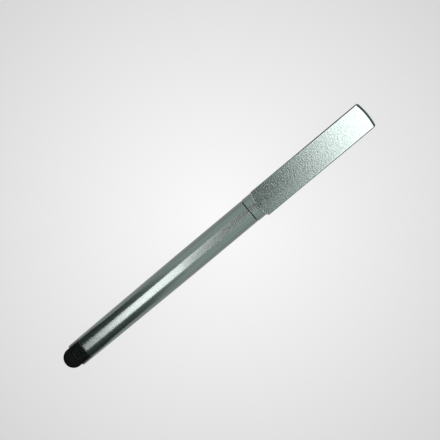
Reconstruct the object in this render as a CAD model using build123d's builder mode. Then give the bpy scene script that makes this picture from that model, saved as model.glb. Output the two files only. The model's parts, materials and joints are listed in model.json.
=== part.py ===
"""Capped stylus pen: a rubber touch tip on one end, a ball point under a cap with a wide sprung clip.

Millimetres. The pen lies along X with the touch tip towards -X, the cap towards +X and the clip up.
Distances along the pen are measured from the mouth of the barrel, towards the cap.
"""

import math
import os

from build123d import *

# Clearances, cuts and edges
fit_gap = 0.02
running_gap = 0.05
seat_gap = 0.05
cut_overrun = 1.0
edge_round = 0.2
mouth_round = 0.08

# Barrel
barrel_length = 76.4
barrel_straight = 30.0
barrel_diameter = 9.4
barrel_taper = 0.27
barrel_wall = 0.6
bushing_length = 10.0
bushing_wall = 0.93

# Stylus end
collar_length = 4.6
collar_inset = 0.06
collar_wall = 1.02
collar_round = 0.4
dome_inset = 0.67
dome_straight = 1.1
dome_wall = 1.0
skirt_length = 3.4
stem_inset = 0.2
plug_length = 6.0
spring_pocket_depth = 3.0

# Ring at the parting of barrel and cap
ring_thickness = 0.3
ring_recess = 0.25

# Grip section and nose
tenon_length = 8.0
pilot_length = 1.2
thread_depth = 0.4
shoulder_length = 1.8
shoulder_gap = 0.25
grip_gap = 0.18
grip_taper = 0.25
snap_gap = 0.08
snap_place = 2.2
groove_count = 5
groove_pitch = 1.7
groove_depth = 0.25
groove_setback = 3.7
spigot_length = 3.0
nose_length = 9.0
nose_wall = 0.3
nose_land = 3.0

# Refill
refill_diameter = 3.0
refill_wall = 0.4
holder_flange = 1.5
holder_spigot = 3.5
holder_wall = 0.25
point_diameter = 2.2
point_inset = 2.6
point_reach = 3.6
point_cone = 2.8
point_room = 6.1
ball_diameter = 1.0
ball_show_share = 0.3
socket_wall = 0.08
ink_channel = 0.6
ink_length = 62.0
follower_length = 3.0
tail_flange = 1.0
tail_spigot = 4.0
tail_vent = 0.6

# Refill spring
spring_wire = 0.4
spring_turns = 5
spring_diameter = 2.9
spring_length = 5.2
spring_room = 0.4

# Cap
cap_step = 0.1
cap_wall = 0.6
cap_tube_length = 51.35
liner_inset = 2.0
liner_wall = 0.6
liner_end = 1.0
finger_count = 4
finger_slot = 0.8
finger_length = 9.0
finger_bump = 0.1
finger_bump_place = 0.5
head_length = 9.2
head_flange = 0.8
head_round = 0.35

# Clip
clip_setback = 2.7
clip_width = 10.45
clip_thickness = 1.0
clip_stand = 0.6
clip_nose_sagitta = 1.6
clip_nose_round = 0.9
clip_head_sagitta = 0.55
clip_head_bevel = 0.5
clip_edge_round = 0.45
clip_fold_round = 1.2
lip_gap = 0.2
lip_thickness = 1.5
lip_depth = 2.0
lip_round = 1.2
bead_place = 4.2
bead_width = 5.0

# Clip hinge and its spring
hinge_back = 7.4
hinge_depth = 3.0
lug_width = 3.0
lug_radius = 1.5
lug_room = 0.5
lug_side_gap = 0.15
pin_diameter = 1.4
pin_inset = 0.1
clip_spring_back = 3.5
clip_spring_wire = 0.3
clip_spring_turns = 4
clip_spring_diameter = 2.0
clip_spring_room = 0.2
clip_spring_sink = 4.4

# Radii of the barrel, the stylus end and the cap
barrel_radius = barrel_diameter / 2
barrel_end_radius = barrel_radius - barrel_taper
barrel_bore = barrel_radius - barrel_wall
barrel_end_bore = barrel_end_radius - barrel_wall
collar_radius = barrel_end_radius - collar_inset
collar_bore = collar_radius - collar_wall
dome_radius = collar_radius - dome_inset
stem_radius = dome_radius - dome_wall
cap_radius = barrel_radius + cap_step
cap_bore = cap_radius - cap_wall
liner_radius = cap_bore - fit_gap
liner_bore = liner_radius - liner_wall

# Radii of the section, which fills the cap, and of the refill inside it
bushing_bore = barrel_bore - fit_gap - bushing_wall
pilot_radius = bushing_bore - running_gap
thread_root = pilot_radius - thread_depth
shoulder_radius = cap_bore - shoulder_gap
grip_radius = liner_bore - finger_bump - grip_gap
grip_end_radius = grip_radius - grip_taper
refill_radius = refill_diameter / 2
refill_bore = refill_radius - refill_wall
section_bore = refill_radius + running_gap
spigot_radius = (section_bore + grip_end_radius) / 2
point_radius = point_diameter / 2
shank_radius = refill_bore - holder_wall
ball_radius = ball_diameter / 2

# Places along the barrel
barrel_end = -barrel_length
collar_front = barrel_end - collar_length
skirt_end = collar_front + skirt_length
dome_centre = collar_front - dome_straight
dome_apex = dome_centre - dome_radius
plug_front = barrel_end + plug_length
pocket_floor = plug_front - spring_pocket_depth
refill_end = pocket_floor + spring_length
tube_end = refill_end + tail_flange

# Places along the cap
cap_start = ring_thickness + seat_gap
cap_end = cap_start + cap_tube_length
head_start = cap_end - head_length
head_end = cap_end + head_flange
liner_start = cap_start + liner_inset
liner_stop = head_start - seat_gap
clip_start = cap_start + clip_setback
clip_end = head_end + lip_gap + lip_thickness
hinge_place = clip_end - hinge_back
clip_spring_place = hinge_place + clip_spring_back

# Places along the section and the refill's front, back from the cap's inner end
ball_front = liner_stop - liner_end - point_room
ball_place = ball_front - ball_radius
point_front = ball_front - ball_diameter * ball_show_share
nose_front = point_front - point_reach
nose_seat = nose_front - nose_land
nose_start = nose_front - nose_length
spigot_front = nose_start + spigot_length
grip_start = ring_thickness + shoulder_length
holder_front = nose_seat - seat_gap
tube_front = holder_front - holder_flange
ink_front = tube_front - holder_spigot

# Heights above the pen's axis
clip_base = cap_radius + clip_stand
hinge_height = clip_base - hinge_depth
lip_foot = clip_base - lip_depth

# The part's frame: lying on the cap, centred on its box
axis_height = cap_radius
parting_x = -(dome_apex + clip_end) / 2
pen_axis = Axis((parting_x, 0, axis_height), (1, 0, 0))
profile_plane = Plane((parting_x, 0, axis_height), x_dir=(1, 0, 0), z_dir=(0, -1, 0))


def cross_plane(along):
    """The plane across the pen at a distance from the barrel's mouth, facing the cap."""
    return Plane((parting_x + along, 0, axis_height), x_dir=(0, 1, 0), z_dir=(1, 0, 0))


def level_plane(height):
    """The plane level with the floor at a height above the pen's axis."""
    return Plane((parting_x, 0, axis_height + height))


def coil_knots(plane, radius, pitch, turns):
    """Points and directions a quarter turn apart on a helix about the plane's normal."""
    knots = []
    rise = pitch / math.tau
    foot = plane.from_local_coords(Vector(0, 0, 0))
    for quarter in range(turns * 4 + 1):
        angle = quarter * math.tau / 4
        place = Vector(radius * math.cos(angle), radius * math.sin(angle), rise * angle)
        heading = Vector(-radius * math.sin(angle), radius * math.cos(angle), rise)
        turned_heading = plane.from_local_coords(heading) - foot
        knots.append((plane.from_local_coords(place), turned_heading.normalized()))
    return knots


def draw_coil(knots):
    """Draw two arcs, in line with the coil, between each knot and the next."""
    for (first, first_heading), (last, last_heading) in zip(knots, knots[1:]):
        chord = last - first
        spread = 2 * (1 - first_heading.dot(last_heading))
        along = chord.dot(first_heading + last_heading)
        reach = (math.sqrt(along**2 + spread * chord.dot(chord)) - along) / spread
        middle = (first + first_heading * reach + last - last_heading * reach) / 2
        lead = TangentArc(first, middle, tangent=first_heading)
        TangentArc(middle, last, tangent=lead % 1)


def print_least_gap(name, wire, knots):
    """Print the least gap between turns of a coil, over knots at least three quarter turns apart."""
    gaps = [
        (later - earlier).length - wire
        for number, (earlier, _) in enumerate(knots)
        for later, _ in knots[number + 3 :]
    ]
    print(f"{name}: least gap between turns {min(gaps):.2f} mm")


# Barrel: a drawn tube, straight behind the mouth and drawn in a little towards the stylus end
with BuildPart() as barrel:
    with BuildSketch(profile_plane):
        with BuildLine():
            Polyline(
                (0, barrel_radius),
                (-barrel_straight, barrel_radius),
                (barrel_end, barrel_end_radius),
                (barrel_end, barrel_end_bore),
                (-barrel_straight, barrel_bore),
                (0, barrel_bore),
                close=True,
            )
        make_face()
    revolve(axis=pen_axis)
    mouth_edge = barrel.edges().group_by(Axis.X)[-1].sort_by(SortBy.RADIUS)[-1]
    end_edge = barrel.edges().group_by(Axis.X)[0].sort_by(SortBy.RADIUS)[-1]
    fillet(mouth_edge, radius=mouth_round)
    fillet(end_edge, radius=edge_round)

# Threaded bushing pressed into the barrel's mouth
with BuildPart() as thread_bushing:
    with BuildSketch(cross_plane(0)):
        Circle(barrel_bore - fit_gap)
        Circle(bushing_bore, mode=Mode.SUBTRACT)
    extrude(amount=-bushing_length)

# Plug that closes the barrel: its stem carries the rubber tip, its pocket holds the refill spring
pocket_radius = spring_diameter / 2 + spring_room
with BuildPart() as stylus_plug:
    with BuildSketch(profile_plane):
        with BuildLine():
            Polyline(
                (collar_front + stem_inset, 0),
                (collar_front + stem_inset, stem_radius - fit_gap),
                (skirt_end, stem_radius - fit_gap),
                (skirt_end, collar_bore - fit_gap),
                (barrel_end, collar_bore - fit_gap),
                (barrel_end, barrel_end_bore - fit_gap),
                (plug_front, barrel_end_bore - fit_gap),
                (plug_front, pocket_radius),
                (pocket_floor, pocket_radius),
                (pocket_floor, 0),
                close=True,
            )
        make_face()
    revolve(axis=pen_axis)
    stem_edge = stylus_plug.edges().group_by(Axis.X)[0].sort_by(SortBy.RADIUS)[-1]
    fillet(stem_edge, radius=edge_round)

# Polished collar that clamps the rubber tip's skirt on the stem
with BuildPart() as stylus_collar:
    with BuildSketch(cross_plane(barrel_end)):
        Circle(collar_radius)
        Circle(collar_bore, mode=Mode.SUBTRACT)
    extrude(amount=-collar_length)
    front_edge = stylus_collar.edges().group_by(Axis.X)[0].sort_by(SortBy.RADIUS)[-1]
    back_edge = stylus_collar.edges().group_by(Axis.X)[-1].sort_by(SortBy.RADIUS)[-1]
    fillet(front_edge, radius=collar_round)
    fillet(back_edge, radius=edge_round)

# Hollow rubber dome with a skirt under the collar
with BuildPart() as stylus_tip:
    with BuildSketch(profile_plane):
        with BuildLine():
            TangentArc((dome_centre, dome_radius), (dome_apex, 0), tangent=(-1, 0))
            Line((dome_apex, 0), (dome_apex + dome_wall, 0))
            TangentArc((dome_centre, stem_radius), (dome_apex + dome_wall, 0), tangent=(-1, 0))
            Polyline(
                (dome_centre, stem_radius),
                (skirt_end, stem_radius),
                (skirt_end, collar_bore - fit_gap),
                (collar_front, collar_bore - fit_gap),
                (collar_front, dome_radius),
                (dome_centre, dome_radius),
            )
        make_face()
    revolve(axis=pen_axis)

# Refill spring, one wire from the plug's pocket to the refill's tail
spring_inset = seat_gap + spring_wire / 2
spring_reach = spring_length - 2 * spring_inset
spring_knots = coil_knots(
    cross_plane(pocket_floor + spring_inset),
    (spring_diameter - spring_wire) / 2,
    spring_reach / spring_turns,
    spring_turns,
)
with BuildPart() as refill_spring:
    with BuildLine() as spring_line:
        draw_coil(spring_knots)
    with BuildSketch(Plane(spring_knots[0][0], z_dir=spring_knots[0][1])):
        Circle(spring_wire / 2)
    sweep(path=spring_line.wires()[0])
print_least_gap("refill_spring", spring_wire, spring_knots)

# Dark ring between the barrel and the cap
with BuildPart() as centre_ring:
    with BuildSketch(cross_plane(0)):
        Circle(barrel_radius - ring_recess)
        Circle(bushing_bore, mode=Mode.SUBTRACT)
    extrude(amount=ring_thickness)

# Grip section: a threaded tenon, a plain pilot under the ring, a shoulder, a grooved grip and a spigot
with BuildPart() as grip_section:
    with BuildSketch(profile_plane):
        with BuildLine():
            Polyline(
                (-tenon_length, section_bore),
                (-tenon_length, thread_root),
                (-pilot_length, thread_root),
                (-pilot_length, pilot_radius),
                (ring_thickness, pilot_radius),
                (ring_thickness, shoulder_radius),
                (grip_start, shoulder_radius),
                (grip_start, grip_radius),
                (nose_start, grip_end_radius),
                (nose_start, spigot_radius),
                (spigot_front, spigot_radius),
                (spigot_front, section_bore),
                close=True,
            )
        make_face()
        with Locations((grip_start + snap_place, grip_radius)):
            RegularPolygon(grip_gap - snap_gap, 4)
        for groove in range(groove_count):
            groove_back = groove_setback + groove * groove_pitch
            back_share = groove_back / (nose_start - grip_start)
            with Locations((nose_start - groove_back, grip_end_radius + grip_taper * back_share)):
                RegularPolygon(groove_depth, 4, mode=Mode.SUBTRACT)
    revolve(axis=pen_axis)
    tenon_edge = grip_section.edges().group_by(Axis.X)[0].sort_by(SortBy.RADIUS)[-1]
    shoulder_edge = grip_section.edges().filter_by(GeomType.CIRCLE).sort_by(SortBy.RADIUS)[-1]
    chamfer([tenon_edge, shoulder_edge], length=edge_round)

# Nose cone screwed on the spigot; its inner shoulder stops the refill
with BuildPart() as nose_cone:
    with BuildSketch(profile_plane):
        with BuildLine():
            Polyline(
                (nose_start, spigot_radius + fit_gap),
                (nose_start, grip_end_radius),
                (nose_front, point_radius + running_gap + nose_wall),
                (nose_front, point_radius + running_gap),
                (nose_seat, point_radius + running_gap),
                (nose_seat, section_bore),
                (spigot_front, section_bore),
                (spigot_front, spigot_radius + fit_gap),
                close=True,
            )
        make_face()
    revolve(axis=pen_axis)
    tip_edge = nose_cone.edges().group_by(Axis.X)[-1].sort_by(SortBy.RADIUS)[-1]
    fillet(tip_edge, radius=nose_wall / 2)

# Refill tube
with BuildPart() as refill_tube:
    with BuildSketch(cross_plane(tube_end)):
        Circle(refill_radius)
        Circle(refill_bore, mode=Mode.SUBTRACT)
    extrude(amount=tube_front - tube_end)

# Holder that joins the metal point to the tube
with BuildPart() as refill_holder:
    with BuildSketch(profile_plane):
        with BuildLine():
            Polyline(
                (ink_front, ink_channel / 2),
                (ink_front, refill_bore - fit_gap),
                (tube_front, refill_bore - fit_gap),
                (tube_front, refill_radius),
                (holder_front, refill_radius),
                (holder_front, shank_radius + fit_gap),
                (holder_front - point_inset, shank_radius + fit_gap),
                (holder_front - point_inset, ink_channel / 2),
                close=True,
            )
        make_face()
    revolve(axis=pen_axis)

# Metal point with the socket for the ball
with BuildPart() as refill_point:
    with BuildSketch(profile_plane):
        with BuildLine():
            Polyline(
                (holder_front - point_inset, ink_channel / 2),
                (holder_front - point_inset, shank_radius),
                (holder_front, shank_radius),
                (holder_front, point_radius),
                (point_front - point_cone, point_radius),
                (point_front, ball_radius + socket_wall),
                (point_front, ink_channel / 2),
                close=True,
            )
        make_face()
    revolve(axis=pen_axis)
    with Locations((parting_x + ball_place, 0, axis_height)):
        Sphere(ball_radius + running_gap / 2, mode=Mode.SUBTRACT)

# Writing ball
with BuildPart() as writing_ball:
    with Locations((parting_x + ball_place, 0, axis_height)):
        Sphere(ball_radius)

# Ink
with BuildPart() as ink:
    with BuildSketch(cross_plane(ink_front)):
        Circle(refill_bore - fit_gap)
    extrude(amount=-ink_length)

# Grease that follows the ink
with BuildPart() as ink_follower:
    with BuildSketch(cross_plane(ink_front - ink_length)):
        Circle(refill_bore - fit_gap)
    extrude(amount=-follower_length)

# Vented plug in the refill's tail
with BuildPart() as refill_tail:
    with BuildSketch(profile_plane):
        with BuildLine():
            Polyline(
                (refill_end, tail_vent / 2),
                (refill_end, refill_radius),
                (tube_end, refill_radius),
                (tube_end, refill_bore - fit_gap),
                (tube_end + tail_spigot, refill_bore - fit_gap),
                (tube_end + tail_spigot, tail_vent / 2),
                close=True,
            )
        make_face()
    revolve(axis=pen_axis)

# Cap tube, with a slot in its top end for the clip's lug and spring
lug_reach = lug_radius + lug_room
slot_start = hinge_place - lug_reach
slot_width = lug_width + 2 * lug_side_gap
with BuildPart() as cap_tube:
    with BuildSketch(cross_plane(cap_start)):
        Circle(cap_radius)
        Circle(cap_bore, mode=Mode.SUBTRACT)
    extrude(amount=cap_tube_length)
    mouth_edge = cap_tube.edges().group_by(Axis.X)[0].sort_by(SortBy.RADIUS)[-1]
    fillet(mouth_edge, radius=mouth_round)
    with BuildSketch(level_plane(0)):
        with Locations((slot_start, 0)):
            Rectangle(cap_end + cut_overrun - slot_start, slot_width, align=(Align.MIN, Align.CENTER))
    extrude(amount=cap_radius + cut_overrun, mode=Mode.SUBTRACT)

# Inner cap: a closed sleeve whose slotted mouth has fingers that grip the section
with BuildPart() as cap_liner:
    with BuildSketch(profile_plane):
        with BuildLine():
            Polyline(
                (liner_start, liner_bore),
                (liner_start, liner_radius),
                (liner_stop, liner_radius),
                (liner_stop, 0),
                (liner_stop - liner_end, 0),
                (liner_stop - liner_end, liner_bore),
                close=True,
            )
        make_face()
        with Locations((liner_start + finger_bump_place, liner_bore)):
            RegularPolygon(finger_bump, 4)
    revolve(axis=pen_axis)
    with BuildSketch(cross_plane(liner_start)):
        with PolarLocations(liner_radius, finger_count, start_angle=180 / finger_count):
            Rectangle(2 * (liner_wall + finger_bump) + cut_overrun, finger_slot)
    extrude(amount=finger_length, mode=Mode.SUBTRACT)

# Cap head: closes the cap and holds the clip's pin and spring
pin_radius = pin_diameter / 2
with BuildPart() as cap_head:
    with BuildSketch(profile_plane):
        with BuildLine():
            Polyline(
                (head_start, 0),
                (head_start, cap_bore - fit_gap),
                (cap_end, cap_bore - fit_gap),
                (cap_end, cap_radius),
                (head_end, cap_radius),
                (head_end, 0),
                close=True,
            )
        make_face()
    revolve(axis=pen_axis)
    end_edge = cap_head.edges().group_by(Axis.X)[-1].sort_by(SortBy.RADIUS)[-1]
    fillet(end_edge, radius=head_round)
    with BuildSketch(level_plane(hinge_height - lug_reach)):
        with Locations((hinge_place, 0)):
            Rectangle(2 * lug_reach, slot_width)
    extrude(amount=2 * cap_radius, mode=Mode.SUBTRACT)
    with BuildSketch(level_plane(clip_base - clip_spring_sink)):
        with Locations((clip_spring_place, 0)):
            Circle(clip_spring_diameter / 2 + clip_spring_room)
    extrude(amount=2 * cap_radius, mode=Mode.SUBTRACT)
    with BuildSketch(profile_plane):
        with Locations((hinge_place, hinge_height)):
            Circle(pin_radius + fit_gap)
    extrude(amount=cap_radius, both=True, mode=Mode.SUBTRACT)

# Hinge pin of the clip, as long as the head is wide above it
pin_reach = math.sqrt((cap_bore - fit_gap) ** 2 - (hinge_height + pin_radius) ** 2) - pin_inset
with BuildPart() as clip_pin:
    with BuildSketch(profile_plane):
        with Locations((hinge_place, hinge_height)):
            Circle(pin_radius)
    extrude(amount=pin_reach, both=True)

# Clip spring, from the pocket in the head to the clip's underside
clip_spring_inset = seat_gap + clip_spring_wire / 2
clip_spring_foot = axis_height + clip_base - clip_spring_sink + clip_spring_inset
clip_spring_knots = coil_knots(
    Plane((parting_x + clip_spring_place, 0, clip_spring_foot)),
    (clip_spring_diameter - clip_spring_wire) / 2,
    (clip_spring_sink - 2 * clip_spring_inset) / clip_spring_turns,
    clip_spring_turns,
)
with BuildPart() as clip_spring:
    with BuildLine() as clip_spring_line:
        draw_coil(clip_spring_knots)
    with BuildSketch(Plane(clip_spring_knots[0][0], z_dir=clip_spring_knots[0][1])):
        Circle(clip_spring_wire / 2)
    sweep(path=clip_spring_line.wires()[0])
print_least_gap("clip_spring", clip_spring_wire, clip_spring_knots)

# Clip: a wide flat plate with a bowed free end, a turned-down lip at the head, a lug and a contact bead
half_width = clip_width / 2
nose_corner = clip_start + clip_nose_sagitta
head_corner = clip_end - clip_head_sagitta
with BuildPart() as clip:
    with BuildSketch(level_plane(lip_foot)) as clip_outline:
        with BuildLine():
            ThreePointArc((nose_corner, -half_width), (clip_start, 0), (nose_corner, half_width))
            Line((nose_corner, half_width), (head_corner, half_width))
            ThreePointArc((head_corner, half_width), (clip_end, 0), (head_corner, -half_width))
            Line((head_corner, -half_width), (nose_corner, -half_width))
        make_face()
        fillet(clip_outline.vertices().group_by(Axis.X)[0], radius=clip_nose_round)
        chamfer(clip_outline.vertices().group_by(Axis.X)[-1], length=clip_head_bevel)
    extrude(amount=lip_depth + clip_thickness)
    with BuildSketch(level_plane(clip_base)):
        with Locations((head_end + lip_gap, 0)):
            Rectangle(clip_end, clip_width + cut_overrun, align=(Align.MAX, Align.CENTER))
    extrude(amount=-(lip_depth + cut_overrun), mode=Mode.SUBTRACT)
    with BuildSketch(cross_plane(clip_end)):
        for side in (-1, 1):
            with Locations((side * half_width, lip_foot)):
                Rectangle(2 * lip_round, 2 * lip_round)
            with Locations((side * (half_width - lip_round), lip_foot + lip_round)):
                Circle(lip_round, mode=Mode.SUBTRACT)
    extrude(amount=-(clip_end - head_end), mode=Mode.SUBTRACT)
    fold_edge = clip.faces().sort_by(Axis.Z)[-1].edges().sort_by(Axis.X)[-1]
    fillet(fold_edge, radius=clip_fold_round)
    rim_edges = clip.faces().sort_by(Axis.Z)[-1].edges().sort_by(Axis.X)[:-1]
    fillet(rim_edges, radius=clip_edge_round)
    with BuildSketch(profile_plane):
        with Locations((hinge_place, hinge_height)):
            Circle(lug_radius)
            Rectangle(2 * lug_radius, hinge_depth, align=(Align.CENTER, Align.MIN))
            Circle(pin_radius + running_gap, mode=Mode.SUBTRACT)
    extrude(amount=lug_width / 2, both=True)
    with BuildSketch(profile_plane):
        with Locations((clip_start + bead_place, clip_base)):
            Circle(clip_stand - seat_gap)
    extrude(amount=bead_width / 2, both=True)

# One file for each piece
pieces = {
    "barrel": barrel,
    "thread_bushing": thread_bushing,
    "stylus_plug": stylus_plug,
    "stylus_collar": stylus_collar,
    "stylus_tip": stylus_tip,
    "refill_spring": refill_spring,
    "centre_ring": centre_ring,
    "grip_section": grip_section,
    "nose_cone": nose_cone,
    "refill_tube": refill_tube,
    "refill_holder": refill_holder,
    "refill_point": refill_point,
    "writing_ball": writing_ball,
    "ink": ink,
    "ink_follower": ink_follower,
    "refill_tail": refill_tail,
    "cap_tube": cap_tube,
    "cap_liner": cap_liner,
    "cap_head": cap_head,
    "clip_pin": clip_pin,
    "clip_spring": clip_spring,
    "clip": clip,
}
os.makedirs("parts", exist_ok=True)
for name, piece in pieces.items():
    piece.part.label = name
    export_step(piece.part, f"parts/{name}.step")
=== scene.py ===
"""Looks of the capped stylus pen: finishes, fine pieces, studio and camera, in metres in its frame."""

import json
import math

import bmesh
import bpy
from mathutils import Matrix, Vector


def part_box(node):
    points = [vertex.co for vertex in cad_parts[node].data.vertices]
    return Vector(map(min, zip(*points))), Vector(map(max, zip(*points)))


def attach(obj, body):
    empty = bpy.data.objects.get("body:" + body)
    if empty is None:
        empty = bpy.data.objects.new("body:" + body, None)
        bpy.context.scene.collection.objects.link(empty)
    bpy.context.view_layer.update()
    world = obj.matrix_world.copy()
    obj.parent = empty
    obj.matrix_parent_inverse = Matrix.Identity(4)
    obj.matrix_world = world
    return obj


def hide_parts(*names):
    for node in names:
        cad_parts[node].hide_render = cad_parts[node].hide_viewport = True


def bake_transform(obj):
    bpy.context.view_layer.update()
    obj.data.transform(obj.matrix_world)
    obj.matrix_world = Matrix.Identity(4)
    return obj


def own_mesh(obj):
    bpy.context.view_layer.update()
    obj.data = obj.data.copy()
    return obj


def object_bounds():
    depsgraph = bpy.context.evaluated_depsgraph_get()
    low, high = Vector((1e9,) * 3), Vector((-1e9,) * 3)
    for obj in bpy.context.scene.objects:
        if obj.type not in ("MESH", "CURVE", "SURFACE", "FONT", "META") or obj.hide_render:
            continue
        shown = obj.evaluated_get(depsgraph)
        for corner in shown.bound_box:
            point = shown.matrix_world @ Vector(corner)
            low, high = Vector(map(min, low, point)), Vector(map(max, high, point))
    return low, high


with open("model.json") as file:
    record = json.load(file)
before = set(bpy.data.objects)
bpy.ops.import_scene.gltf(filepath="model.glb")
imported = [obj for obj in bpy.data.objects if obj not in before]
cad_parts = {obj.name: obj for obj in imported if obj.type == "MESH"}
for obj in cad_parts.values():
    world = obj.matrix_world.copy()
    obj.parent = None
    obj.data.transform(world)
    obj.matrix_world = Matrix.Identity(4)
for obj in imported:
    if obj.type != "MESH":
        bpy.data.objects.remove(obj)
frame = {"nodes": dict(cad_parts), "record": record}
nodes = frame["nodes"]
cad_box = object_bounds()

# Places from the frame: the barrel's mouth, from which places along the pen are measured, and its axis
barrel_low, barrel_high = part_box("barrel")
mouth_x = barrel_high.x
axis_z = (barrel_low.z + barrel_high.z) / 2
pen_direction = Vector((1, 0, 0))
side_direction = Vector((0, 1, 0))
up_direction = Vector((0, 0, 1))

# Touch tip: wall of the rubber, the round at its back lip and the step in to its skirt under the collar
tip_wall = 0.0010
tip_lip_round = 0.00018
tip_skirt_inset = 0.00037
tip_segments = 96
tip_arc_steps = 24
tip_lip_steps = 6

# Screw thread between the grip section and the bushing, at the pitch that the joints' coupling gives
thread_pitch = 2 * math.pi / frame["record"]["behaviour"]["couplings"][0]["ratio"]
thread_start = -0.0078
thread_end = -0.0014
bushing_thread_start = -0.0096
tenon_root = 0.0027
tenon_crest = 0.00307
bushing_root = 0.00315
bushing_crest = 0.00278
thread_foot = 0.0006
thread_land = 0.00015
thread_sink = 0.00003
thread_steps = 48

# Springs: one behind the refill, one under the clip's head
refill_spring_wire = 0.0004
refill_spring_turns = 5
clip_spring_wire = 0.0003
clip_spring_turns = 4
spring_steps = 24
wire_sides = 10

# Clip: how far its plate falls away towards its long edges, in how many strips, and what counts as an edge
clip_crown = 0.0002
crown_strips = 24
crease_angle = math.radians(30)
weld_reach = 0.0000005

# Colours of the finishes
shell_colour = (0.228, 0.274, 0.260)
chrome_colour = (0.11, 0.114, 0.115)
rubber_colour = (0.0045, 0.0045, 0.0047)
ring_colour = (0.01, 0.01, 0.011)
grip_colour = (0.02, 0.02, 0.022)
brass_colour = (0.60, 0.42, 0.18)
nickel_colour = (0.62, 0.60, 0.56)
steel_colour = (0.48, 0.49, 0.50)
white_colour = (0.72, 0.72, 0.70)
tube_colour = (0.75, 0.76, 0.75)
ink_colour = (0.01, 0.02, 0.16)
grease_colour = (0.55, 0.46, 0.24)
liner_colour = (0.12, 0.125, 0.125)

# Patterns of the finishes: the part of a noise that is used, its detail, and how much it changes a finish
noise_low = 0.3
noise_high = 0.7
plain_detail = 2.0
blasted_detail = 3.0
plastic_mottle_share = 0.08
turned_mottle_share = 0.06
grain_roughness_share = 0.1
line_roughness_share = 0.2
line_size = 0.00008
line_stretch = 60
plastic_specular = 0.5
rubber_specular = 0.06
ring_specular = 0.15

# Camera: high above the cap, a little to one side, with the pen rising to the right
image_width = 440
camera_along = 0.01753
camera_side = 0.02951
camera_height = 0.5710
aim_along = -0.01004
aim_side = 0.00429
focal_pixels = 1603.7
pen_rise = math.radians(39.84)

# Background: the floor's levels in the picture's middle, beyond its fade and in reflections; the fade
# outward from the middle is a painted pool of light, and the lower level in reflections is painted shade
floor_reach = 3.0
floor_painted_light_middle = 0.965
floor_painted_light_edge = 0.669
floor_painted_light_reach = 0.115
floor_glow_share = 0.97
floor_painted_shade_reflection_level = 0.68
room_colour = (0.80, 0.87, 0.84)

# Lamps: strips across the pen's line, high up beyond the touch tip and beyond the cap's top
lamp_height = 0.5709
tip_lamp_along = -0.116
tip_lamp_side = 0.09
tip_lamp_turn = math.radians(-0.6)
tip_lamp_length = 0.072
tip_lamp_width = 0.72
tip_lamp_level = 4.75
tip_lamp_colour = (1.0, 0.88, 0.92)
cap_lamp_along = 0.186
cap_lamp_side = 0.0
cap_lamp_turn = 0.0
cap_lamp_length = 0.260
cap_lamp_width = 0.90
cap_lamp_level = 4.4
cap_lamp_colour = (1.0, 0.915, 0.937)

# Dark cards, which show only in reflections: their colour and the glow of each kind
card_colour = (0.01, 0.01, 0.01)
dark_glow = (0.0, 0.0, 0.0)
dusk_glow = (0.022, 0.034, 0.030)
dim_glow = (0.09, 0.15, 0.13)

# Cards at both sides, which leave a window by the ring; the far one at the cap leans towards the pen
card_side = 0.26
card_height = 0.36
tip_card_start = -0.19
window_start = -0.075
window_end = 0.040
cap_card_end = 0.13
lean_card_top = 0.13

# Card across the pen's line beyond the cap
end_card_along = 0.25
end_card_half_width = 0.09

# Strips on the floor beside and ahead of the tip, and a low flag that stands close around it
strip_side = 0.02
strip_end = -0.072
strip_height = 0.001
flag_reach = 0.0125
flag_side = 0.02
flag_height = 0.030

# Cards overhead, between the lamps and beyond the one at the tip
gap_start = -0.074
gap_split = -0.012
gap_end = 0.024
gap_half_width = 0.45
gap_side = -0.30
clip_gap_side = -0.05
far_gap_start = -0.34
far_gap_end = -0.155


def new_material(name):
    """A material with nodes, its node tree and its shader."""
    material = bpy.data.materials.new(name)
    material.use_nodes = True
    tree = material.node_tree
    return material, tree, tree.nodes["Principled BSDF"]


def add_node(tree, kind, settings=None, **inputs):
    """A new node with its settings and input values; underscores in input names stand for spaces."""
    node = tree.nodes.new(kind)
    for key, value in (settings or {}).items():
        setattr(node, key, value)
    for key, value in inputs.items():
        node.inputs[key.replace("_", " ")].default_value = value
    return node


def object_noise(tree, size, stretch=(1, 1, 1), detail=plain_detail):
    """Noise in object space, with spots of about the given size; stretch lengthens them."""
    place = add_node(tree, "ShaderNodeTexCoord")
    scale = [1 / (size * s) for s in stretch]
    mapping = add_node(tree, "ShaderNodeMapping", Scale=scale)
    noise = add_node(tree, "ShaderNodeTexNoise", Scale=1.0, Detail=detail)
    tree.links.new(place.outputs["Object"], mapping.inputs["Vector"])
    tree.links.new(mapping.outputs["Vector"], noise.inputs["Vector"])
    return noise.outputs["Fac"]


def spread(tree, factor, low, high, start=noise_low, end=noise_high):
    """A value from low to high as the factor goes from start to end."""
    node = add_node(tree, "ShaderNodeMapRange", From_Min=start, From_Max=end, To_Min=low, To_Max=high)
    tree.links.new(factor, node.inputs["Value"])
    return node.outputs["Result"]


def shade(colour, share):
    """A colour made lighter or darker by a share."""
    return tuple(c * (1 + share) for c in colour)


def tint(tree, factor, colour, share):
    """A colour that the factor makes darker and lighter by up to a share."""
    ramp = add_node(tree, "ShaderNodeValToRGB")
    stops = ((noise_low, -share), (noise_high, share))
    for element, (position, change) in zip(ramp.color_ramp.elements, stops):
        element.position = position
        element.color = (*shade(colour, change), 1)
    tree.links.new(factor, ramp.inputs["Fac"])
    return ramp.outputs["Color"]


def apply_pattern(tree, shader, pattern, colour, mottle_share, roughness, roughness_share, depth):
    """Lets a pattern vary the colour and the roughness by their shares and raise the surface by a depth."""
    tree.links.new(tint(tree, pattern, colour, mottle_share), shader.inputs["Base Color"])
    smooth = roughness * (1 - roughness_share)
    rough = roughness * (1 + roughness_share)
    tree.links.new(spread(tree, pattern, smooth, rough), shader.inputs["Roughness"])
    bump = add_node(tree, "ShaderNodeBump", Strength=1.0, Distance=depth)
    tree.links.new(pattern, bump.inputs["Height"])
    tree.links.new(bump.outputs["Normal"], shader.inputs["Normal"])


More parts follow.
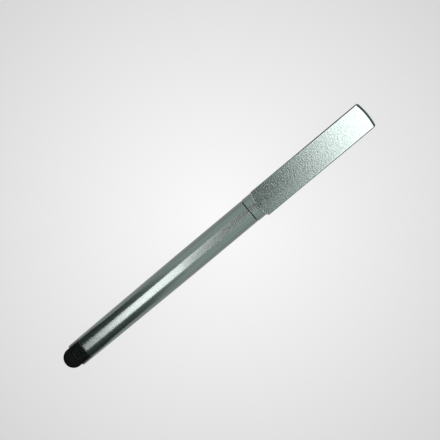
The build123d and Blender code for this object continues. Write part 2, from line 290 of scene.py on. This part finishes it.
def blasted_metal(name, colour, grain_size, grain_depth, mottle_share, roughness):
    """Anodised metal with a fine blasted grain."""
    material, tree, shader = new_material(name)
    grain = object_noise(tree, grain_size, detail=blasted_detail)
    apply_pattern(tree, shader, grain, colour, mottle_share, roughness, grain_roughness_share, grain_depth)
    shader.inputs["Metallic"].default_value = 1.0
    return material


def plain_plastic(name, colour, grain_size, grain_depth, roughness, specular=plastic_specular):
    """Moulded plastic or rubber with a fine skin."""
    material, tree, shader = new_material(name)
    grain = object_noise(tree, grain_size)
    apply_pattern(tree, shader, grain, colour, plastic_mottle_share, roughness, grain_roughness_share,
                  grain_depth)
    shader.inputs["Specular IOR Level"].default_value = specular
    return material


def turned_metal(name, colour, roughness, line_depth):
    """Turned metal with fine lines around the pen's axis."""
    material, tree, shader = new_material(name)
    lines = object_noise(tree, line_size, stretch=(1, line_stretch, line_stretch))
    apply_pattern(tree, shader, lines, colour, turned_mottle_share, roughness, line_roughness_share,
                  line_depth)
    shader.inputs["Metallic"].default_value = 1.0
    return material


def dress(material, *names):
    """Gives a material to CAD nodes."""
    for name in names:
        nodes[name].data.materials.clear()
        nodes[name].data.materials.append(material)
        for polygon in nodes[name].data.polygons:
            polygon.material_index = 0


# Finishes that show when the pen is closed
satin = blasted_metal("satin_shell", shell_colour, grain_size=0.00025, grain_depth=0.000002,
                      mottle_share=0.06, roughness=0.19)
grained = blasted_metal("grained_shell", shell_colour, grain_size=0.0005, grain_depth=0.0000155,
                        mottle_share=0.16, roughness=0.16)
chrome = turned_metal("dark_chrome", chrome_colour, roughness=0.04, line_depth=0.0000005)
rubber = plain_plastic("touch_rubber", rubber_colour, grain_size=0.0002, grain_depth=0.00001,
                       roughness=0.75, specular=rubber_specular)
ring_plastic = plain_plastic("black_ring", ring_colour, grain_size=0.0003, grain_depth=0.000002,
                             roughness=0.3, specular=ring_specular)
dress(satin, "barrel", "cap_tube", "cap_head", "nose_cone")
dress(grained, "clip")
dress(chrome, "stylus_collar")
dress(ring_plastic, "centre_ring")

# Finishes inside the pen
grip_plastic = plain_plastic("black_grip", grip_colour, grain_size=0.0003, grain_depth=0.00001,
                             roughness=0.45)
brass = turned_metal("brass_insert", brass_colour, roughness=0.25, line_depth=0.000002)
nickel = turned_metal("nickel_silver", nickel_colour, roughness=0.2, line_depth=0.000001)
steel = turned_metal("spring_steel", steel_colour, roughness=0.22, line_depth=0.000001)
white = plain_plastic("white_plastic", white_colour, grain_size=0.0003, grain_depth=0.000005, roughness=0.4)
clear = plain_plastic("clear_tube", tube_colour, grain_size=0.0005, grain_depth=0.000002, roughness=0.2)
blue = plain_plastic("blue_ink", ink_colour, grain_size=0.0005, grain_depth=0.000002, roughness=0.3)
grease = plain_plastic("grease", grease_colour, grain_size=0.0005, grain_depth=0.000002, roughness=0.3)
grey = plain_plastic("grey_liner", liner_colour, grain_size=0.0003, grain_depth=0.000005, roughness=0.45)
dress(grip_plastic, "grip_section")
dress(brass, "thread_bushing", "stylus_plug")
dress(nickel, "refill_point")
dress(steel, "refill_spring", "clip_spring", "clip_pin", "writing_ball")
dress(white, "refill_holder", "refill_tail")
dress(clear, "refill_tube")
dress(blue, "ink")
dress(grease, "ink_follower")
dress(grey, "cap_liner")


def ring_point(x, radius, angle):
    """A point on a circle about the pen's axis."""
    return Vector((x, radius * math.cos(angle), axis_z + radius * math.sin(angle)))


def add_piece(name, points, faces, material, body=None):
    """A smooth mesh piece that rides on a body, if one is named."""
    mesh = bpy.data.meshes.new(name)
    mesh.from_pydata(points, [], faces)
    shape = bmesh.new()
    shape.from_mesh(mesh)
    bmesh.ops.recalc_face_normals(shape, faces=shape.faces)
    shape.to_mesh(mesh)
    shape.free()
    mesh.materials.append(material)
    mesh.shade_smooth()
    piece = bpy.data.objects.new(name, mesh)
    bpy.context.scene.collection.objects.link(piece)
    if body:
        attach(piece, body)
    return piece


def arc(centre, radius, start, end, steps):
    """Points (x, radius) of an arc in the profile plane, from one angle to another."""
    angles = [start + (end - start) * i / steps for i in range(steps + 1)]
    return [(centre[0] + radius * math.cos(a), centre[1] + radius * math.sin(a)) for a in angles]


def turned_piece(name, profile, segments, material, body):
    """A closed piece turned about the pen's axis; its profile starts and ends on the axis."""
    rings = profile[1:-1]
    points = [ring_point(*profile[0], 0)]
    for x, radius in rings:
        points += [ring_point(x, radius, 2 * math.pi * i / segments) for i in range(segments)]
    points.append(ring_point(*profile[-1], 0))
    last = len(points) - 1
    faces = []
    for i in range(segments):
        j = (i + 1) % segments
        faces.append((0, 1 + i, 1 + j))
        for k in range(len(rings) - 1):
            row = 1 + k * segments
            faces.append((row + i, row + segments + i, row + segments + j, row + j))
        row = 1 + (len(rings) - 1) * segments
        faces.append((row + i, last, row + j))
    return add_piece(name, points, faces, material, body)


def touch_tip():
    """Hollow rubber dome with a rounded back lip and a skirt under the collar."""
    tip_low, tip_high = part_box("stylus_tip")
    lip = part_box("stylus_collar")[0].x
    outer = (tip_high.z - tip_low.z) / 2
    inner = outer - tip_wall
    centre = tip_low.x + outer
    skirt = outer - tip_skirt_inset
    quarter = math.pi / 2
    lip_centre = (lip - tip_lip_round, outer - tip_lip_round)
    profile = arc((centre, 0), outer, 2 * quarter, quarter, tip_arc_steps)
    profile += arc(lip_centre, tip_lip_round, quarter, 0, tip_lip_steps)
    profile += [(lip, skirt), (tip_high.x, skirt), (tip_high.x, inner)]
    profile += arc((centre, 0), inner, quarter, 2 * quarter, tip_arc_steps)
    piece = turned_piece("touch_tip", profile, tip_segments, rubber, "barrel")
    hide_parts("stylus_tip")


def crowned_clip():
    """The clip with a slight crown across its plate."""
    low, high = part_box("clip")
    middle = (low.y + high.y) / 2
    half_width = (high.y - low.y) / 2
    shape = bmesh.new()
    shape.from_mesh(nodes["clip"].data)
    bmesh.ops.remove_doubles(shape, verts=shape.verts, dist=weld_reach)
    for i in range(1, crown_strips):
        cut = side_direction * (low.y + 2 * half_width * i / crown_strips)
        everything = shape.verts[:] + shape.edges[:] + shape.faces[:]
        bmesh.ops.bisect_plane(shape, geom=everything, dist=weld_reach, plane_co=cut,
                               plane_no=side_direction)
    shape.verts.index_update()
    points = []
    for vertex in shape.verts:
        fall = clip_crown * ((vertex.co.y - middle) / half_width) ** 2
        points.append(vertex.co - up_direction * fall)
    faces = [[vertex.index for vertex in face.verts] for face in shape.faces]
    shape.free()
    piece = add_piece("clip_plate", points, faces, grained, "clip")
    piece.data.set_sharp_from_angle(angle=crease_angle)
    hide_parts("clip")


def tube_faces(count, sides):
    """Faces of a closed tube in so many steps, between rows that have a point for each side."""
    last = count * sides
    faces = [tuple(range(sides)), tuple(last + k for k in reversed(range(sides)))]
    for i in range(count):
        row = i * sides
        for k in range(sides):
            n = (k + 1) % sides
            faces.append((row + k, row + sides + k, row + sides + n, row + n))
    return faces


def spring_coil(name, node, axis, wire, turns, body=None):
    """A wire wound about a line through a spring's box, from its low end along the axis to its high end."""
    low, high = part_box(node)
    other = axis.cross(side_direction)
    radius = (high.y - low.y - wire) / 2
    middle = (low + high) / 2
    rise = (high - low).dot(axis) - wire
    foot = middle - axis * rise / 2
    count = turns * spring_steps
    points = []
    for i in range(count + 1):
        angle = 2 * math.pi * i / spring_steps
        outward = side_direction * math.cos(angle) + other * math.sin(angle)
        around = other * math.cos(angle) - side_direction * math.sin(angle)
        heading = around * radius + axis * (rise / (2 * math.pi * turns))
        across = heading.normalized().cross(outward)
        centre = foot + outward * radius + axis * (rise * i / count)
        for k in range(wire_sides):
            turn = 2 * math.pi * k / wire_sides
            points.append(centre + (outward * math.cos(turn) + across * math.sin(turn)) * wire / 2)
    piece = add_piece(name, points, tube_faces(count, wire_sides), steel, body)
    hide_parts(node)
    return piece


def add_springs():
    """Coils for the refill's spring, which rides on the barrel with a mesh of its own, and for the clip's
    spring, which rides on no body.
    """
    spring = spring_coil("refill_coil", "refill_spring", pen_direction, refill_spring_wire,
                         refill_spring_turns, "barrel")
    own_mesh(spring)
    spring = spring_coil("clip_coil", "clip_spring", up_direction, clip_spring_wire, clip_spring_turns)
    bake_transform(spring)


def thread_ridge(name, start, end, root, crest, shift, material, body):
    """A right-hand ridge wound about the axis from start to end; it rises and runs out over half a turn."""
    turns = (end - start) / thread_pitch
    count = round(turns * thread_steps)
    half_turn = thread_steps / 2
    sink = root + math.copysign(thread_sink, root - crest)
    points = []
    for i in range(count + 1):
        angle = 2 * math.pi * turns * i / count
        x = mouth_x + start + thread_pitch * (angle / (2 * math.pi))
        rise = min(1, i / half_turn, (count - i) / half_turn)
        top = root + (crest - root) * rise
        corners = ((-thread_foot / 2, sink), (-thread_land / 2, top),
                   (thread_land / 2, top), (thread_foot / 2, sink))
        points += [ring_point(x + offset, radius, angle + shift) for offset, radius in corners]
    piece = add_piece(name, points, tube_faces(count, len(corners)), material, body)
    piece.data.shade_flat()


def add_threads():
    """The section's thread, and the bushing's half a turn from it, each in the other's groove."""
    thread_ridge("tenon_thread", thread_start, thread_end, tenon_root, tenon_crest, 0,
                 grip_plastic, "section")
    lead = (thread_start - bushing_thread_start) / thread_pitch * 2 * math.pi
    thread_ridge("bushing_thread", bushing_thread_start, thread_end, bushing_root, bushing_crest,
                 math.pi - lead, brass, "barrel")


touch_tip()
crowned_clip()
add_springs()
add_threads()


def make_panel(name, corners, material):
    """A flat panel through its corners."""
    mesh = bpy.data.meshes.new(name)
    mesh.from_pydata(corners, [], [range(len(corners))])
    mesh.materials.append(material)
    panel = bpy.data.objects.new(name, mesh)
    bpy.context.scene.collection.objects.link(panel)
    return panel


def limited(tree, operation, first, second):
    """A sum or product of a socket and another socket or a number, kept from 0 to 1."""
    node = add_node(tree, "ShaderNodeMath", {"operation": operation, "use_clamp": True})
    tree.links.new(first, node.inputs[0])
    if isinstance(second, float):
        node.inputs[1].default_value = second
    else:
        tree.links.new(second, node.inputs[1])
    return node.outputs["Value"]


def floor_material():
    """Pale floor with a painted pool of light that fades from the picture's middle, and painted shade in
    reflections; most of it glows, so that its shadow stays faint.
    """
    material, tree, shader = new_material("floor")
    place = add_node(tree, "ShaderNodeTexCoord")
    offset = add_node(tree, "ShaderNodeVectorMath", {"operation": "DISTANCE"})
    offset.inputs[1].default_value = (mouth_x + aim_along, aim_side, 0)
    tree.links.new(place.outputs["Object"], offset.inputs[0])
    # Painted pool of light: the floor's level is brightest at the picture's middle and fades outward
    level = spread(tree, offset.outputs["Value"], floor_painted_light_middle, floor_painted_light_edge, 0, floor_painted_light_reach)
    tree.links.new(level, shader.inputs["Base Color"])
    shader.inputs["Roughness"].default_value = 1.0
    shader.inputs["Specular IOR Level"].default_value = 0.0
    rays = add_node(tree, "ShaderNodeLightPath")
    # Painted shade: rays mirrored off the pen see the floor glow at a dimmer level, standing in for the
    # floor's shade around the pen
    glow_level = add_node(tree, "ShaderNodeMix", B=floor_painted_shade_reflection_level)
    tree.links.new(rays.outputs["Is Glossy Ray"], glow_level.inputs["Factor"])
    tree.links.new(level, glow_level.inputs["A"])
    glow = add_node(tree, "ShaderNodeEmission")
    tree.links.new(glow_level.outputs["Result"], glow.inputs["Color"])
    seen = limited(tree, "ADD", rays.outputs["Is Camera Ray"], rays.outputs["Is Glossy Ray"])
    seen = limited(tree, "ADD", seen, rays.outputs["Is Transmission Ray"])
    mix = add_node(tree, "ShaderNodeMixShader")
    tree.links.new(limited(tree, "MULTIPLY", seen, floor_glow_share), mix.inputs["Fac"])
    tree.links.new(shader.outputs["BSDF"], mix.inputs[1])
    tree.links.new(glow.outputs["Emission"], mix.inputs[2])
    tree.links.new(mix.outputs["Shader"], tree.nodes["Material Output"].inputs["Surface"])
    return material


make_panel("floor", [(-floor_reach, -floor_reach, 0), (floor_reach, -floor_reach, 0),
                     (floor_reach, floor_reach, 0), (-floor_reach, floor_reach, 0)], floor_material())

# World: an even pale room
world = bpy.data.worlds.new("room")
bpy.context.scene.world = world
world.use_nodes = True
world.node_tree.nodes["Background"].inputs["Color"].default_value = (*room_colour, 1)


def make_lamp(name, along, side, turn, length, width, level, colour, lights_matt):
    """A soft strip overhead that shines straight down, as bright as the level where it is mirrored."""
    light = bpy.data.lights.new(name, "AREA")
    light.shape = "RECTANGLE"
    light.size = length
    light.size_y = width
    light.energy = level * math.pi * length * width
    light.color = colour
    lamp = bpy.data.objects.new(name, light)
    lamp.location = (mouth_x + along, side, axis_z + lamp_height)
    lamp.rotation_euler.z = turn
    lamp.visible_diffuse = lights_matt
    bpy.context.scene.collection.objects.link(lamp)


# The lamp at the cap lights glossy surfaces alone, so that a matt colour renders as it is written
make_lamp("tip_lamp", tip_lamp_along, tip_lamp_side, tip_lamp_turn, tip_lamp_length, tip_lamp_width,
          tip_lamp_level, tip_lamp_colour, lights_matt=True)
make_lamp("cap_lamp", cap_lamp_along, cap_lamp_side, cap_lamp_turn, cap_lamp_length, cap_lamp_width,
          cap_lamp_level, cap_lamp_colour, lights_matt=False)


def card_material(name, glow):
    """Near-black card with a glow of its own."""
    material, _, shader = new_material(name)
    shader.inputs["Base Color"].default_value = (*card_colour, 1)
    shader.inputs["Emission Color"].default_value = (*glow, 1)
    shader.inputs["Emission Strength"].default_value = 1.0
    return material


def make_card(name, corners, material):
    """A dark card that shows only in reflections; its corners are measured along the pen from the mouth."""
    card = make_panel(name, [(mouth_x + along, side, z) for along, side, z in corners], material)
    card.visible_camera = False
    card.visible_diffuse = False
    card.visible_shadow = False


def side_card(name, start, end, side, top, material):
    """An upright card beside the pen."""
    make_card(name, [(start, side, 0), (end, side, 0), (end, side, top), (start, side, top)], material)


def cross_card(name, along, half_width, top, material):
    """An upright card across the pen's line."""
    make_card(name, [(along, -half_width, 0), (along, half_width, 0),
                     (along, half_width, top), (along, -half_width, top)], material)


def level_card(name, start, end, side, other_side, z, material):
    """A level card on the floor or over the pen."""
    make_card(name, [(start, side, z), (end, side, z),
                     (end, other_side, z), (start, other_side, z)], material)


dark_card = card_material("dark_card", dark_glow)
dusk_card = card_material("dusk_card", dusk_glow)
dim_card = card_material("dim_card", dim_glow)

# Cards at the tip
flag_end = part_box("stylus_collar")[0].x - mouth_x
flag_start = flag_end - flag_reach
tip_along = cad_box[0].x - mouth_x
for name, sign in (("near", -1), ("far", 1)):
    side = sign * card_side
    side_card(f"tip_card_{name}", tip_card_start, window_start, side, card_height, dusk_card)
    side_card(f"tip_flag_{name}", flag_start, flag_end, sign * flag_side, flag_height, dusk_card)
    level_card(f"floor_strip_{name}", tip_card_start, strip_end, sign * strip_side, side, strip_height,
               dusk_card)
cross_card("tip_flag_ahead", flag_start, flag_side, flag_height, dusk_card)
level_card("floor_strip_ahead", flag_start, tip_along, -flag_side, flag_side, strip_height, dusk_card)

# Cards at the cap and overhead
overhead_z = axis_z + lamp_height
cross_card("end_card_cap", end_card_along, end_card_half_width, card_height, dim_card)
side_card("cap_card_near", window_end, cap_card_end, -card_side, card_height, dark_card)
make_card("cap_card_far", [(window_end, card_side, 0), (cap_card_end, card_side, 0),
                           (cap_card_end, lean_card_top, overhead_z),
                           (window_end, lean_card_top, overhead_z)], dark_card)
level_card("far_gap_card", far_gap_start, far_gap_end, -gap_half_width, gap_half_width, overhead_z,
           dusk_card)
level_card("gap_card", gap_start, gap_split, gap_side, gap_half_width, overhead_z, dark_card)
level_card("clip_gap_card", gap_split, gap_end, clip_gap_side, gap_half_width, overhead_z, dim_card)

# Camera
camera_place = Vector((mouth_x + camera_along, camera_side, axis_z + camera_height))
aim = Vector((mouth_x + aim_along, aim_side, axis_z))
back = (camera_place - aim).normalized()
along_image = (pen_direction - back * pen_direction.dot(back)).normalized()
across_image = back.cross(along_image)
right = along_image * math.cos(pen_rise) - across_image * math.sin(pen_rise)
up = back.cross(right)
camera_data = bpy.data.cameras.new("camera")
camera_data.lens = focal_pixels / image_width * camera_data.sensor_width
camera = bpy.data.objects.new("camera", camera_data)
camera_turn = Matrix((right, up, back)).transposed().to_4x4()
camera.matrix_world = Matrix.Translation(camera_place) @ camera_turn
bpy.context.scene.collection.objects.link(camera)
bpy.context.scene.camera = camera

bpy.context.scene.view_settings.view_transform = "Standard"
